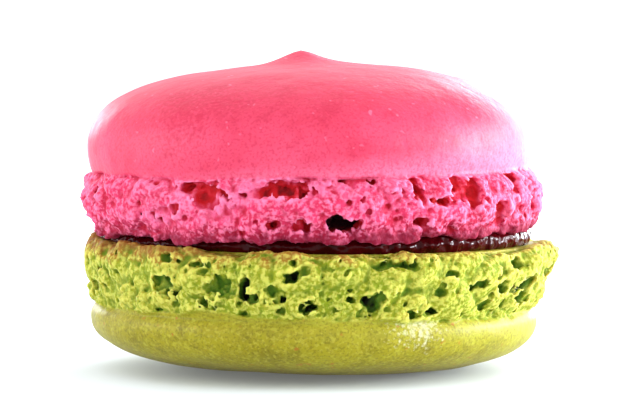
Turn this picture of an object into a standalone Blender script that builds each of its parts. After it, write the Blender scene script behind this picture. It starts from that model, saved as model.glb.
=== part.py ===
"""A French macaron: two almond meringue shells, a pink one on a green one, with dark jam between them.

Each shell is one solid. Its outside is a smooth baked skin. The band beside the jam is the foot, where
the batter rose, burst out under the edge of the skin and dried as a lumpy foam, full of holes.
Metres, +Z up. The origin lies on the flat spot that the macaron rests on, and -Y is its front.
"""

import math
import random

import bmesh
import bpy
from mathutils import Matrix, Vector, noise

MM = 0.001

# Where the pieces meet, up the middle of the macaron
LOWER_FACE_Z = 11.3 * MM
UPPER_FACE_Z = 12.35 * MM
JOIN_GAP = 0.2 * MM

# How the shells lie: the lower one dips to the right, and the upper one was set down a little to the left
LOWER_DIP = math.radians(0.6)
LOWER_SHIFT = -0.3 * MM
UPPER_DIP = math.radians(-0.6)
UPPER_SHIFT = -0.7 * MM

# The lower shell: the wide, shallow green one, which lies on its crown
LOWER = {
    "rim_radius": 19.9 * MM,
    "rim_shift": 0.8 * MM,
    "bulge": 1.05 * MM,
    "bulge_skew": 0.65,
    "foot_height": 5.6 * MM,
    "skin_edge_radius": 19.3 * MM,
    "dome_radius": 19.8 * MM,
    "side_height": 1.0 * MM,
    "crown_height": 4.9 * MM,
    "pole_shift": 1.8 * MM,
    "roundness": 2.5,
    "peak_height": 0.0,
    "peak_shift": 0.0,
    "seed": 11,
}

# The upper shell: the pink one, taller, with the peak that the piping nozzle left
UPPER = {
    "rim_radius": 19.3 * MM,
    "rim_shift": 0.15 * MM,
    "bulge": 1.1 * MM,
    "bulge_skew": 1.3,
    "foot_height": 5.2 * MM,
    "skin_edge_radius": 19.4 * MM,
    "dome_radius": 19.7 * MM,
    "side_height": 2.1 * MM,
    "crown_height": 7.2 * MM,
    "pole_shift": 0.0,
    "roundness": 2.5,
    "peak_height": 1.35 * MM,
    "peak_shift": -0.6 * MM,
    "seed": 5,
}
PEAK_RADIUS = 2.2 * MM
PEAK_SOFTNESS = 1.5
RIM_ROUNDING = 0.35 * MM
BULGE_FULLNESS = 0.7

# The foot's relief: rounded lumps with creases between them, and long ruffles. Both fade into the edge
# of the skin over the last quarter of the foot, and are half as strong where the rim turns in.
LUMP_SIZE = 2.6 * MM
LUMP_HEIGHT = 0.85 * MM
LUMP_REACH = 0.8
LUMP_MEAN = 0.6
RUFFLE_SIZE = 4.5 * MM
RUFFLE_HEIGHT = 0.35 * MM
RELIEF_FADE = 0.25
RIM_RELIEF = 0.5

# No shell is quite round, and its skin has slow dents
OUT_OF_ROUND = 0.22 * MM
OUT_OF_ROUND_SIZE = 20.0 * MM
DENT_SIZE = 9.0 * MM
DENT_DEPTH = 0.16 * MM

# Holes in the foot: degrees round from the front towards +X, height above the jam's side of the shell,
# and the hole's width, height and depth, in millimetres
UPPER_HOLES = (
    (-25, 4.3, 2.2, 2.1, 1.6),
    (-11, 3.8, 1.7, 1.0, 1.2),
    (-3, 4.2, 2.9, 1.4, 1.7),
    (9, 1.3, 2.3, 1.3, 1.9),
    (-1.5, 1.2, 1.4, 0.9, 1.2),
    (27, 4.2, 1.4, 1.9, 1.2),
    (35, 3.2, 2.0, 1.1, 1.3),
    (43, 4.1, 2.9, 2.0, 1.8),
    (57, 1.9, 2.0, 1.7, 1.5),
    (65, 4.4, 2.0, 1.6, 1.3),
    (-34, 2.6, 1.2, 1.2, 1.1),
    (-66, 3.7, 2.0, 1.9, 1.3),
)
LOWER_HOLES = (
    (-22, 2.8, 3.1, 2.4, 1.9),
    (-39, 2.9, 2.9, 1.9, 1.4),
    (-30, 0.8, 1.6, 0.8, 1.0),
    (-7, 2.1, 1.3, 1.7, 1.5),
    (-10, 3.7, 1.8, 1.2, 1.3),
    (-1, 4.4, 1.8, 1.0, 1.3),
    (14, 0.9, 1.8, 0.9, 1.2),
    (12, 3.9, 1.9, 1.6, 1.5),
    (38, 2.7, 1.7, 1.3, 1.4),
    (28, 4.8, 1.5, 0.9, 1.2),
    (53, 1.0, 1.4, 1.2, 1.3),
    (57, 3.6, 2.0, 2.4, 1.5),
    (75, 1.9, 1.4, 1.7, 1.2),
)
# The rest of the ring, which is out of sight, gets holes of the same sizes by a rule, in millimetres
BACK_HOLES = 8
BACK_FROM = 84
BACK_TO = 286
BACK_WIDTH = (1.3, 3.0)
BACK_FLATNESS = (0.5, 0.9)
BACK_DEPTH = (1.1, 1.8)
BACK_MARGIN = 0.9
# Each hole is cut by a pebble with few sides
PEBBLE_UNEVENNESS = 0.5
PEBBLE_LUMPS = 1.6
PEBBLE_SIDES = 8
PEBBLE_RINGS = 6

# The jam: a thin slab, with an uneven edge that stays back from the feet
JAM_RADIUS = 18.9 * MM
JAM_UNEVENNESS = 0.35 * MM
JAM_WAVES = 3.0
JAM_SHIFT = -0.3 * MM

# How finely the surfaces are divided. Each count round the shell is half of the one outside it.
AROUND_SIDE = 128
AROUND_CROWN = AROUND_SIDE // 2
AROUND_PEAK = AROUND_CROWN // 2
CROWN_REACH = 12.5 * MM
PEAK_REACH = 4.4 * MM
FOOT_ROWS = 9
CROWN_ROWS = 10
CROWN_CROWDING = 1.6
JAM_EDGE_ROWS = 4
SHARP_ANGLE = math.radians(55)


def clear_scene():
    for old in list(bpy.data.objects):
        bpy.data.objects.remove(old)


def make_material(name, colour, roughness):
    material = bpy.data.materials.new(name)
    material.use_nodes = True
    surface = material.node_tree.nodes["Principled BSDF"]
    surface.inputs["Base Color"].default_value = (*colour, 1.0)
    surface.inputs["Roughness"].default_value = roughness
    surface.inputs["Metallic"].default_value = 0.0
    return material


def outward_at(turn):
    """The level direction away from the axis, turned from the front towards +X."""
    return Vector((math.sin(turn), -math.cos(turn), 0.0))


def foot_radius(size, up_foot):
    """The foot's radius at a share of its height: it bulges out and comes back in under the skin."""
    straight = size["rim_radius"] + (size["skin_edge_radius"] - size["rim_radius"]) * up_foot
    bow = max(math.sin(math.pi * up_foot ** size["bulge_skew"]), 0.0)
    return straight + size["bulge"] * bow**BULGE_FULLNESS


def segments_at(radius):
    """How many points a ring of the dome has: fewer towards the pole."""
    if radius > CROWN_REACH:
        return AROUND_SIDE
    return AROUND_CROWN if radius > PEAK_REACH else AROUND_PEAK


def shell_profile(size):
    """Rows of (radius, height above the jam's side, slope, share of foot relief, segments), rim to crown."""
    rows = [(size["rim_radius"] - RIM_ROUNDING, 0.0, 0.0, RIM_RELIEF, AROUND_SIDE)]
    for row in range(1, FOOT_ROWS + 1):
        up_foot = row / FOOT_ROWS
        relief = min(1.0, (1.0 - up_foot) / RELIEF_FADE)
        rows.append((foot_radius(size, up_foot), size["foot_height"] * up_foot, 0.0, relief, AROUND_SIDE))
    side_top = size["foot_height"] + size["side_height"]
    rows.append((size["dome_radius"], side_top, 0.0, 0.0, AROUND_SIDE))
    for row in range(1, CROWN_ROWS + 1):
        to_pole = 1.0 - row / (CROWN_ROWS + 1)
        slope = math.pi / 2 * (1.0 - to_pole**CROWN_CROWDING)
        radius = size["dome_radius"] * math.cos(slope) ** (2 / size["roundness"])
        height = side_top + size["crown_height"] * math.sin(slope) ** (2 / size["roundness"])
        rows.append((radius, height, slope, 0.0, segments_at(radius)))
    return rows


def crown_rise(size, place):
    """The small soft peak near the middle of the dome."""
    away = math.hypot(place.x - size["peak_shift"], place.y)
    return size["peak_height"] * math.exp(-((away / PEAK_RADIUS) ** PEAK_SOFTNESS))


def foot_relief(place):
    """How far the foam stands out of the foot's smooth outline."""
    to_nearest = noise.voronoi(place / LUMP_SIZE)[0][0]
    lump = max(1.0 - (to_nearest / LUMP_REACH) ** 2, 0.0)
    ruffle = noise.noise(place / RUFFLE_SIZE)
    return LUMP_HEIGHT * (lump - LUMP_MEAN) + RUFFLE_HEIGHT * ruffle


def skin_relief(place, seed):
    """The slow unevenness of the whole shell."""
    offset = Vector((seed, 0.0, 0.0))
    out_of_round = noise.noise(Vector((place.x, place.y, 0.0)) / OUT_OF_ROUND_SIZE + offset)
    dent = noise.noise(place / DENT_SIZE - offset)
    return OUT_OF_ROUND * out_of_round + DENT_DEPTH * dent


def row_shift(size, radius, height, slope):
    """How far a row lies to the right of the shell's axis: the rim and the pole are off centre."""
    if slope:
        return size["pole_shift"] * (1.0 - radius / size["dome_radius"])
    return size["rim_shift"] * max(1.0 - height / size["foot_height"], 0.0)


def shell_rows(size, up):
    """Rows of points in the shell's own frame. up is 1 where the dome is above the jam, or -1."""
    upward = Vector((0.0, 0.0, up))
    rows = []
    for number, (radius, height, slope, relief, around) in enumerate(shell_profile(size)):
        # Every other row of the foot is turned by half a step, which gives even triangles
        half_step = 0.5 * (number % 2) if relief else 0.0
        row = []
        for step in range(around):
            outward = outward_at(2 * math.pi * (step + half_step) / around)
            place = outward * radius + upward * height
            place += upward * crown_rise(size, place)
            grown = skin_relief(place, size["seed"])
            if relief:
                grown += relief * foot_relief(place + Vector((0.0, 0.0, size["seed"] * LUMP_SIZE)))
            place += (outward * math.cos(slope) + upward * math.sin(slope)) * grown
            place.x += row_shift(size, radius, height, slope)
            row.append(place)
        rows.append(row)
    return rows


def bridge(bm, first, second):
    """Faces between two rings of vertices, the second with as many as the first or half as many."""
    count = len(first)
    if len(second) == count:
        for i in range(count):
            j = (i + 1) % count
            bm.faces.new((first[i], first[j], second[j], second[i]))
        return
    for i in range(len(second)):
        j = (i + 1) % len(second)
        before, middle, after = first[2 * i], first[2 * i + 1], first[(2 * i + 2) % count]
        bm.faces.new((before, middle, second[i]))
        bm.faces.new((middle, second[j], second[i]))
        bm.faces.new((middle, after, second[j]))


def cut_flat_spot(bm):
    """Cuts off what is below the table, and closes the cut with one flat face."""
    everything = bm.verts[:] + bm.edges[:] + bm.faces[:]
    table = {"plane_co": (0.0, 0.0, 0.0), "plane_no": (0.0, 0.0, 1.0)}
    cut = bmesh.ops.bisect_plane(bm, geom=everything, clear_inner=True, **table)["geom_cut"]
    rim = [part for part in cut if isinstance(part, bmesh.types.BMEdge)]
    if rim:
        bmesh.ops.contextual_create(bm, geom=rim)


def solid_of_rows(name, rows, tip, pose, material):
    """A closed body from rings of points: a flat face on the first ring, and a tip or a face on the last."""
    bm = bmesh.new()
    rings = [[bm.verts.new(place) for place in row] for row in rows]
    for first, second in zip(rings, rings[1:]):
        bridge(bm, first, second)
    bm.faces.new(rings[0])
    if tip is None:
        bm.faces.new(rings[-1])
    else:
        top = bm.verts.new(tip)
        for i, corner in enumerate(rings[-1]):
            bm.faces.new((corner, rings[-1][(i + 1) % len(rings[-1])], top))
    bm.transform(pose)
    four_sided = [face for face in bm.faces if len(face.verts) == 4]
    bmesh.ops.triangulate(bm, faces=four_sided, quad_method="SHORT_EDGE")
    cut_flat_spot(bm)
    bmesh.ops.recalc_face_normals(bm, faces=bm.faces)
    mesh = bpy.data.meshes.new(name)
    bm.to_mesh(mesh)
    bm.free()
    mesh.materials.append(material)
    mesh.shade_smooth()
    mesh.set_sharp_from_angle(angle=SHARP_ANGLE)
    body = bpy.data.objects.new(name, mesh)
    bpy.context.scene.collection.objects.link(body)
    return body


def back_holes(size):
    """Holes for the side that is out of sight, spread evenly with a seeded draw of place and size."""
    draw = random.Random(size["seed"])
    spacing = (BACK_TO - BACK_FROM) / BACK_HOLES
    highest = size["foot_height"] / MM - BACK_MARGIN
    holes = []
    for k in range(BACK_HOLES):
        degrees = BACK_FROM + spacing * (k + draw.random())
        width = draw.uniform(*BACK_WIDTH)
        tall = width * draw.uniform(*BACK_FLATNESS)
        holes.append((degrees, draw.uniform(BACK_MARGIN, highest), width, tall, draw.uniform(*BACK_DEPTH)))
    return holes


def hole_cutter(name, size, up, holes, pose):
    """One mesh of uneven pebbles, each half sunk in the foot where a hole goes."""
    bm = bmesh.new()
    for degrees, height, width, tall, depth in holes:
        turn = math.radians(degrees)
        outward = outward_at(turn)
        sideways = Vector((math.cos(turn), math.sin(turn), 0.0))
        middle = outward * foot_radius(size, height * MM / size["foot_height"])
        middle.z = up * height * MM
        middle.x += row_shift(size, middle.length, height * MM, 0.0)
        pebble = bmesh.ops.create_uvsphere(bm, u_segments=PEBBLE_SIDES, v_segments=PEBBLE_RINGS, radius=1.0)
        for vert in pebble["verts"]:
            lump = noise.noise(vert.co * PEBBLE_LUMPS + Vector((degrees, height, 0.0)))
            corner = vert.co * (1.0 + PEBBLE_UNEVENNESS * lump) * MM
            vert.co = middle + sideways * corner.x * width / 2 + outward * corner.z * depth
            vert.co.z += corner.y * tall / 2
    bmesh.ops.recalc_face_normals(bm, faces=bm.faces)
    mesh = bpy.data.meshes.new(name)
    bm.to_mesh(mesh)
    bm.free()
    cutter = bpy.data.objects.new(name, mesh)
    cutter.matrix_world = pose
    cutter.hide_render = True
    cutter.display_type = "WIRE"
    bpy.context.scene.collection.objects.link(cutter)
    return cutter


def make_shell(name, size, up, holes, pose, material):
    """One shell, with the holes of its foot cut by a Boolean."""
    tip = Vector((0.0, 0.0, size["foot_height"] + size["side_height"] + size["crown_height"]))
    tip.z = up * (tip.z + crown_rise(size, tip))
    tip.x = size["pole_shift"]
    shell = solid_of_rows(name, shell_rows(size, up), tip, pose, material)
    cut = shell.modifiers.new("foot_holes", "BOOLEAN")
    cut.operation = "DIFFERENCE"
    cut.object = hole_cutter(name + "_holes", size, up, [*holes, *back_holes(size)], pose)
    cut.use_self = True


def make_jam(lower_pose, upper_pose, material):
    """The jam: its two faces follow the shells, and its edge is round and uneven."""
    rows = []
    for row in range(JAM_EDGE_ROWS + 1):
        share = row / JAM_EDGE_ROWS
        bow = math.sin(math.pi * share)
        ring = []
        for step in range(AROUND_CROWN):
            outward = outward_at(2 * math.pi * step / AROUND_CROWN)
            radius = JAM_RADIUS + JAM_UNEVENNESS * (noise.noise(outward * JAM_WAVES) - 1.0 + bow)
            place = outward * radius + Vector((JAM_SHIFT, 0.0, 0.0))
            bottom = (lower_pose @ place).z + JOIN_GAP
            top = (upper_pose @ place).z - JOIN_GAP
            ring.append(Vector((place.x, place.y, bottom + (top - bottom) * share)))
        rows.append(ring)
    solid_of_rows("jam_filling", rows, None, Matrix.Identity(4), material)


def main():
    clear_scene()
    pink = make_material("pink_meringue", (0.93, 0.13, 0.22), 0.55)
    green = make_material("green_meringue", (0.45, 0.42, 0.05), 0.55)
    dark_red = make_material("raspberry_jam", (0.07, 0.004, 0.01), 0.15)
    lower_pose = Matrix.Translation((LOWER_SHIFT, 0.0, LOWER_FACE_Z)) @ Matrix.Rotation(LOWER_DIP, 4, "Y")
    upper_pose = Matrix.Translation((UPPER_SHIFT, 0.0, UPPER_FACE_Z)) @ Matrix.Rotation(UPPER_DIP, 4, "Y")
    make_shell("lower_shell", LOWER, -1, LOWER_HOLES, lower_pose, green)
    make_jam(lower_pose, upper_pose, dark_red)
    make_shell("upper_shell", UPPER, 1, UPPER_HOLES, upper_pose, pink)


main()
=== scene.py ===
import math

import bpy
import numpy as np
from mathutils import Matrix, Vector, noise


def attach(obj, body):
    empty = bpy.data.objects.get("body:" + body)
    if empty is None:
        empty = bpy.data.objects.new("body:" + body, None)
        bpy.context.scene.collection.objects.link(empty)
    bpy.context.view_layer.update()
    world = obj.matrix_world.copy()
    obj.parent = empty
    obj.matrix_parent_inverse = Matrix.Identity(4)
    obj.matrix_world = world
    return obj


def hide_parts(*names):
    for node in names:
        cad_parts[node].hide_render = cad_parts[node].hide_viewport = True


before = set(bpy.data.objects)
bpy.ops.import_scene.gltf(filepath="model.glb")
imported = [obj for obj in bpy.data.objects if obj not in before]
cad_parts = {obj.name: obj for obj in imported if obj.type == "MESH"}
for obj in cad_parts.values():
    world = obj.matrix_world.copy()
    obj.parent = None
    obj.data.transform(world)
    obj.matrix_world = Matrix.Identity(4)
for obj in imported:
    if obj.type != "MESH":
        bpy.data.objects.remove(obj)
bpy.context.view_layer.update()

# The green shell: an almond meringue with pistachio colour, baked crown up and then turned over, so that it
# lies on its crown. Its skin dried smooth before baking. Then the batter rose under it and burst out at its
# edge as the foot, a band of dried foam. Sizes are in millimetres, in the shell's own frame.
MM = 0.001
# Heights run from the jam's side to the crown, and shifts go towards +X. The last two give the height of the
# foam's lip beside the jam, and how far the skin's edge is raised, by degrees round from the front to +X.
GREEN = {
    "up": -1,
    "rim_radius": 19.9,
    "rim_shift": 0.8,
    "bulge": 1.05,
    "bulge_skew": 0.65,
    "foot_height": 5.6,
    "skin_edge_radius": 19.3,
    "dome_radius": 19.8,
    "side_height": 1.0,
    "crown_height": 4.9,
    "pole_shift": 1.8,
    "roundness": 2.5,
    "peak_height": 0.0,
    "peak_shift": 0.0,
    "seed": 11,
    "edge_waver": 0.35,
    "lip": ((-180, 0.1), (-90, 0.3), (-55, 0.5), (-20, 0.42), (-5, 0.12), (15, 0.05), (60, 0.2), (90, 0.1)),
    "edge_rise": ((-180, 0.0), (-65, 0.0), (-45, -0.3), (-25, -0.6), (-8, -0.35), (10, 0.0), (180, 0.0)),
}
# Where the middle of its jam side lies, and its tilt
GREEN_PLACE = Matrix.Translation((-0.3, 0.0, 11.3)) @ Matrix.Rotation(math.radians(0.6), 4, "Y")
# The foot's larger holes: each one's degrees round from the front towards +X, its height above the jam's
# side, and its own width, height and depth
GREEN_HOLES = (
    (-38, 0.65, 1.8, 0.5, 0.8),
    (-30.5, 0.8, 1.4, 0.6, 0.9),
    (-24, 0.7, 0.5, 0.4, 0.6),
    (-7, 0.7, 0.8, 0.4, 0.6),
    (-29, 1.6, 0.5, 0.4, 0.6),
    (-39, 2.5, 2.6, 1.5, 0.8),
    (-38, 3.6, 1.1, 0.6, 1.8),
    (-23.5, 2.6, 2.6, 2.0, 0.85),
    (-18, 2.7, 1.2, 2.0, 2.6),
    (-16, 3.6, 1.2, 0.7, 2.2),
    (-27.7, 4.0, 0.8, 0.7, 1.2),
    (-6.7, 1.9, 1.3, 0.9, 1.8),
    (-9.7, 3.3, 2.2, 1.1, 0.8),
    (-8, 3.6, 0.8, 0.6, 1.9),
    (-1.7, 4.3, 1.4, 0.9, 1.8),
    (7.8, 3.6, 0.7, 0.6, 0.9),
    (15, 0.6, 1.6, 0.7, 1.4),
    (20.7, 0.9, 1.0, 0.8, 1.3),
    (13.3, 3.8, 1.7, 1.4, 1.6),
    (24, 5.0, 1.1, 0.5, 1.4),
    (29.5, 4.7, 1.4, 0.7, 1.8),
    (32.4, 1.7, 1.2, 0.5, 0.9),
    (40.2, 2.6, 1.5, 0.8, 1.0),
    (46.5, 2.1, 0.9, 0.5, 0.8),
    (50, 3.1, 1.4, 1.4, 1.2),
    (46, 4.4, 1.1, 0.7, 1.0),
    (55, 0.8, 1.8, 1.0, 1.4),
    (61, 3.6, 2.6, 2.2, 1.5),
    (78, 2.3, 2.0, 1.4, 1.1),
)
# Bubbles: smallest and largest radius, and how many for each square millimetre of the foot
GREEN_BUBBLES = ((0.35, 0.6, 0.02), (0.17, 0.3, 0.22))

# The flat face beside the jam ends this far inside the rim
RIM_ROUNDING = 0.35
BULGE_FULLNESS = 0.7

# The foam is cut from a grid that runs round the shell, along its outline, and into it. GRID is its spacing
# along and inward. Round the shell its steps are closer at the front, where the foam shows best.
AROUND = 688
FRONT_CROWDING = 0.25
GRID = 0.168
# How far the grid reaches outside the outline and inside it, over the jam's side, and past the foot's top
AIR = 0.9
FOAM_DEPTH = 3.3
FACE_SHOWN = 1.8
SKIN_SHOWN = 1.0


def turn_at(step):
    """The angle round the shell of a grid step. Steps are closer at the front, where the foam shows best."""
    share = step / AROUND
    return 2 * math.pi * share - FRONT_CROWDING * np.sin(2 * math.pi * share)


TURNS = turn_at(np.arange(AROUND + 1))


def step_at(turn):
    """The grid step at an angle round the shell."""
    return np.interp(turn % (2 * math.pi), TURNS, np.arange(AROUND + 1))


def foot_radius(size, up_foot):
    """The foot's radius at a share of its height: it bulges out and comes back in under the skin."""
    straight = size["rim_radius"] + (size["skin_edge_radius"] - size["rim_radius"]) * up_foot
    bow = np.maximum(np.sin(np.pi * up_foot ** size["bulge_skew"]), 0.0)
    return straight + size["bulge"] * bow**BULGE_FULLNESS


# How many points the outline has on each stretch, and how much closer they are at the foot's rim
OUTLINE_STEPS = {"face": 20, "foot": 300, "side": 40, "crown": 500}
RIM_CROWDING = 1.5


def shell_outline(size):
    """Radii, heights and lengths along the outline, from the jam's side round the foot and over the dome."""
    face_end = size["rim_radius"] - RIM_ROUNDING
    face = np.linspace(size["rim_radius"] - FACE_SHOWN, face_end, OUTLINE_STEPS["face"])
    up_foot = np.linspace(0.0, 1.0, OUTLINE_STEPS["foot"]) ** RIM_CROWDING
    up_side = np.linspace(0.0, 1.0, OUTLINE_STEPS["side"])[1:]
    slope = np.linspace(0.0, math.pi / 2, OUTLINE_STEPS["crown"])[1:]
    side_radius = size["skin_edge_radius"] + (size["dome_radius"] - size["skin_edge_radius"]) * np.sin(
        up_side * math.pi / 2
    )
    side_top = size["foot_height"] + size["side_height"]
    power = 2 / size["roundness"]
    crown_radius = size["dome_radius"] * np.cos(slope).clip(0.0) ** power
    radius = np.concatenate([face, foot_radius(size, up_foot), side_radius, crown_radius])
    height = np.concatenate(
        [
            np.zeros_like(face),
            size["foot_height"] * up_foot,
            size["foot_height"] + size["side_height"] * up_side,
            side_top + size["crown_height"] * np.sin(slope) ** power,
        ]
    )
    length = np.concatenate([[0.0], np.cumsum(np.hypot(np.diff(radius), np.diff(height)))])
    return radius, height, length


def soft_step(value, low, high):
    """Goes smoothly from 0 at low to 1 at high."""
    share = np.clip((value - low) / (high - low), 0.0, 1.0)
    return share * share * (3.0 - 2.0 * share)


def grid_noise(draw, shape, steps):
    """Smooth noise from -1 to 1 over a grid that closes along its first axis; steps is its size."""
    counts = [max(round(n / steps), 1) for n in shape]
    values = draw.uniform(-1.0, 1.0, [counts[0]] + [n + 1 for n in counts[1:]]).astype(np.float32)
    for axis, n in enumerate(shape):
        at = np.arange(n) * counts[axis] / n
        low = np.floor(at).astype(int)
        high = (low + 1) % values.shape[axis]
        share = soft_step(at - low, 0.0, 1.0).astype(np.float32)
        share = share.reshape([-1 if other == axis else 1 for other in range(len(shape))])
        values = np.take(values, low, axis) * (1.0 - share) + np.take(values, high, axis) * share
    return values


def layered_noise(draw, shape, layers):
    """Smooth noise of several sizes over a grid. Each layer has its weight and its size in grid steps."""
    return sum(weight * grid_noise(draw, shape, steps) for weight, steps in layers)


def box_mean(values, reach):
    """Each value's mean with its neighbours up to reach steps away, on a grid closed along its first axis."""
    for axis, n in enumerate(values.shape):
        margins = [(0, 0)] * values.ndim
        margins[axis] = (reach + 1, reach)
        padded = np.pad(values, margins, mode="edge" if axis else "wrap")
        total = np.cumsum(padded, axis, dtype=np.float64)
        last = np.take(total, np.arange(n) + 2 * reach + 1, axis)
        values = (last - np.take(total, np.arange(n), axis)) / (2 * reach + 1)
    return values


def grain_gaps(draw, shape, steps):
    """Grains packed side by side in a grid: how far each point is from the middle of the nearest one."""
    counts = [max(round(n / steps), 1) for n in shape]
    aside = draw.random([3, counts[0]] + [n + 2 for n in counts[1:]]).astype(np.float32)
    at = [(np.arange(n) * count / n).astype(np.float32) for n, count in zip(shape, counts)]
    nearest = np.full(shape, 9.0, np.float32)
    for shift in ((i, j, k) for i in (-1, 0, 1) for j in (-1, 0, 1) for k in (-1, 0, 1)):
        cell = [np.floor(place).astype(int) + step for place, step in zip(at, shift)]
        block = np.ix_(cell[0] % counts[0], cell[1] + 1, cell[2] + 1)
        gap = np.zeros(shape, np.float32)
        for axis in range(3):
            ahead = (cell[axis] - at[axis]).reshape([-1 if other == axis else 1 for other in range(3)])
            gap += (aside[axis][block] + ahead.astype(np.float32)) ** 2
        nearest = np.minimum(nearest, gap)
    return np.sqrt(nearest)


def read_grid(values, steps):
    """Values between the points of a grid that is closed along its first axis, at places in grid steps."""
    low = np.floor(steps).astype(int)
    share = steps - low
    found = np.zeros(len(steps))
    for corner in ((i, j, k) for i in (0, 1) for j in (0, 1) for k in (0, 1)):
        weight = np.prod(np.where(corner, share, 1.0 - share), axis=1)
        i, j, k = (low + corner).T
        j, k = j.clip(max=values.shape[1] - 1), k.clip(max=values.shape[2] - 1)
        found += weight * values[i % values.shape[0], j, k]
    return found


def round_the_shell(heights):
    """Heights that are given by degrees round the shell, at each of the grid's steps."""
    degrees = (np.degrees(TURNS[:-1]) + 180) % 360 - 180
    places, values = np.array(heights).T
    return np.interp(degrees, places, values, period=360)[:, None]


# How far a lump reaches from its middle, in lump sizes
LUMP_REACH = 0.8


def lumps_at(points, seed, lump_size):
    """Rounded lumps with creases between them, from 0 to 1."""
    scaled = points.reshape(-1, 3) / lump_size + (0.0, 0.0, seed)
    nearest = np.array([noise.voronoi(Vector(place))[0][0] for place in scaled])
    return np.maximum(1.0 - (nearest / LUMP_REACH) ** 2, 0.0).reshape(points.shape[:-1])


# Holes are held back from the skin, and where they meet the foam's surface their edges are rounded
SKIN_HELD = 3.0
HOLE_BLEND = 0.08


def carve(field, points, skin, crumbs, centre, turn, half, rough):
    """Cuts one uneven bubble out of the foam. half is its half width, half height and half depth."""
    outward = np.array([math.sin(turn), -math.cos(turn), 0.0])
    sideways = np.array([math.cos(turn), math.sin(turn), 0.0])
    reach = max(half) * (1.0 + rough) + 2 * GRID
    column = int(round(step_at(turn))) % AROUND
    rows, layers = np.nonzero(np.linalg.norm(points[column] - centre, axis=-1) < reach)
    if not len(rows):
        return
    smallest_step = np.hypot(centre[0], centre[1]) * 2 * math.pi * (1.0 - FRONT_CROWDING) / AROUND
    steps = math.ceil(reach / smallest_step) + 1
    ring = (column + np.arange(-steps, steps + 1)) % AROUND
    block = np.ix_(ring, range(rows.min(), rows.max() + 1), range(layers.min(), layers.max() + 1))
    offset = points[block] - centre
    across, upward, inward = offset @ sideways, offset[..., 2], offset @ outward
    size = np.sqrt((across / half[0]) ** 2 + (upward / half[1]) ** 2 + (inward / half[2]) ** 2)
    bubble = (size - 1.0 + rough * crumbs[block]) * min(half)
    bubble += SKIN_HELD * skin[block[0][:, :, 0], block[1][:, :, 0]][:, :, None]
    share = np.clip(0.5 + 0.5 * (bubble - field[block]) / HOLE_BLEND, 0.0, 1.0)
    rounding = HOLE_BLEND * share * (1.0 - share)
    field[block] = bubble * (1.0 - share) + field[block] * share - rounding


# Filling one gap can open another, so it takes a few rounds
GAP_ROUNDS = 20
JUST_SOLID = 0.1 * GRID


def close_corner_gaps(field):
    """Fills the air where grid points touch only across a corner, so that no edge is shared by four faces."""
    for _ in range(GAP_ROUNDS):
        solid = field > 0.0
        fill = np.zeros_like(solid)
        for first, second in ((0, 1), (0, 2), (1, 2)):
            beside = np.roll(solid, -1, first)
            above = np.roll(solid, -1, second)
            across = np.roll(beside, -1, second)
            fill |= np.roll(solid & across & ~beside & ~above, 1, first)
            fill |= beside & above & ~solid & ~across
        if not fill.any():
            break
        field[fill] = JUST_SOLID


def surface_of(field):
    """Where the field is 0: vertices in grid steps, four-sided faces, and each grid cell's vertex number.

    The field closes along its first axis. Each cell that the surface crosses gets one vertex, at the mean of
    the places where its edges are crossed.
    """
    closed = np.concatenate([field, field[:1]])
    solid = closed > 0.0
    cells = [n - 1 for n in closed.shape]
    corners = [(i, j, k) for i in (0, 1) for j in (0, 1) for k in (0, 1)]
    filled = sum(
        solid[tuple(slice(at, at + n) for at, n in zip(corner, cells))].astype(np.int8) for corner in corners
    )
    found = np.argwhere((filled > 0) & (filled < len(corners)))
    number = np.full(cells, -1, np.int32)
    number[tuple(found.T)] = np.arange(len(found))
    total = np.zeros((len(found), 3))
    crossings = np.zeros(len(found))
    for corner in corners:
        for axis in range(3):
            if corner[axis]:
                continue
            end = tuple(at + (other == axis) for other, at in enumerate(corner))
            first = closed[tuple((found + corner).T)]
            last = closed[tuple((found + end).T)]
            crossed = (first > 0.0) != (last > 0.0)
            place = np.tile(np.array(corner, float), (crossed.sum(), 1))
            place[:, axis] = first[crossed] / (first[crossed] - last[crossed])
            total[crossed] += place
            crossings[crossed] += 1
    vertices = found + total / crossings[:, None]
    faces = []
    for axis in range(3):
        before = [slice(None)] * 3
        after = [slice(None)] * 3
        before[axis] = slice(0, -1)
        after[axis] = slice(1, None)
        change = solid[tuple(before)] != solid[tuple(after)]
        across = [other for other in range(3) if other != axis]
        edges = np.argwhere(change)
        if axis:
            edges = edges[edges[:, 0] < cells[0]]
        for other in across:
            if other:
                edges = edges[(edges[:, other] > 0) & (edges[:, other] < cells[other])]
        inward = solid[tuple((edges + np.eye(3, dtype=int)[axis]).T)]
        second, third = (axis + 1) % 3, (axis + 2) % 3
        ring = []
        for step_second, step_third in ((1, 1), (0, 1), (0, 0), (1, 0)):
            cell = edges.copy()
            cell[:, second] -= step_second
            cell[:, third] -= step_third
            cell[:, 0] %= cells[0]
            ring.append(number[tuple(cell.T)])
        face = np.stack(ring, axis=1)
        face[~inward] = face[~inward][:, ::-1]
        faces.append(face)
    return vertices, np.concatenate(faces), number


def largest_part(count, faces):
    """Which vertices belong to the largest joined part of a mesh."""
    label = np.arange(count)
    edges = np.concatenate([faces[:, [0, 1]], faces[:, [1, 2]], faces[:, [2, 3]]])
    while True:
        before = label.copy()
        lowest = np.minimum(label[edges[:, 0]], label[edges[:, 1]])
        np.minimum.at(label, edges[:, 0], lowest)
        np.minimum.at(label, edges[:, 1], lowest)
        label = label[label]
        if (label == before).all():
            break
    names, sizes = np.unique(label, return_counts=True)
    return label == names[np.argmax(sizes)]


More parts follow.
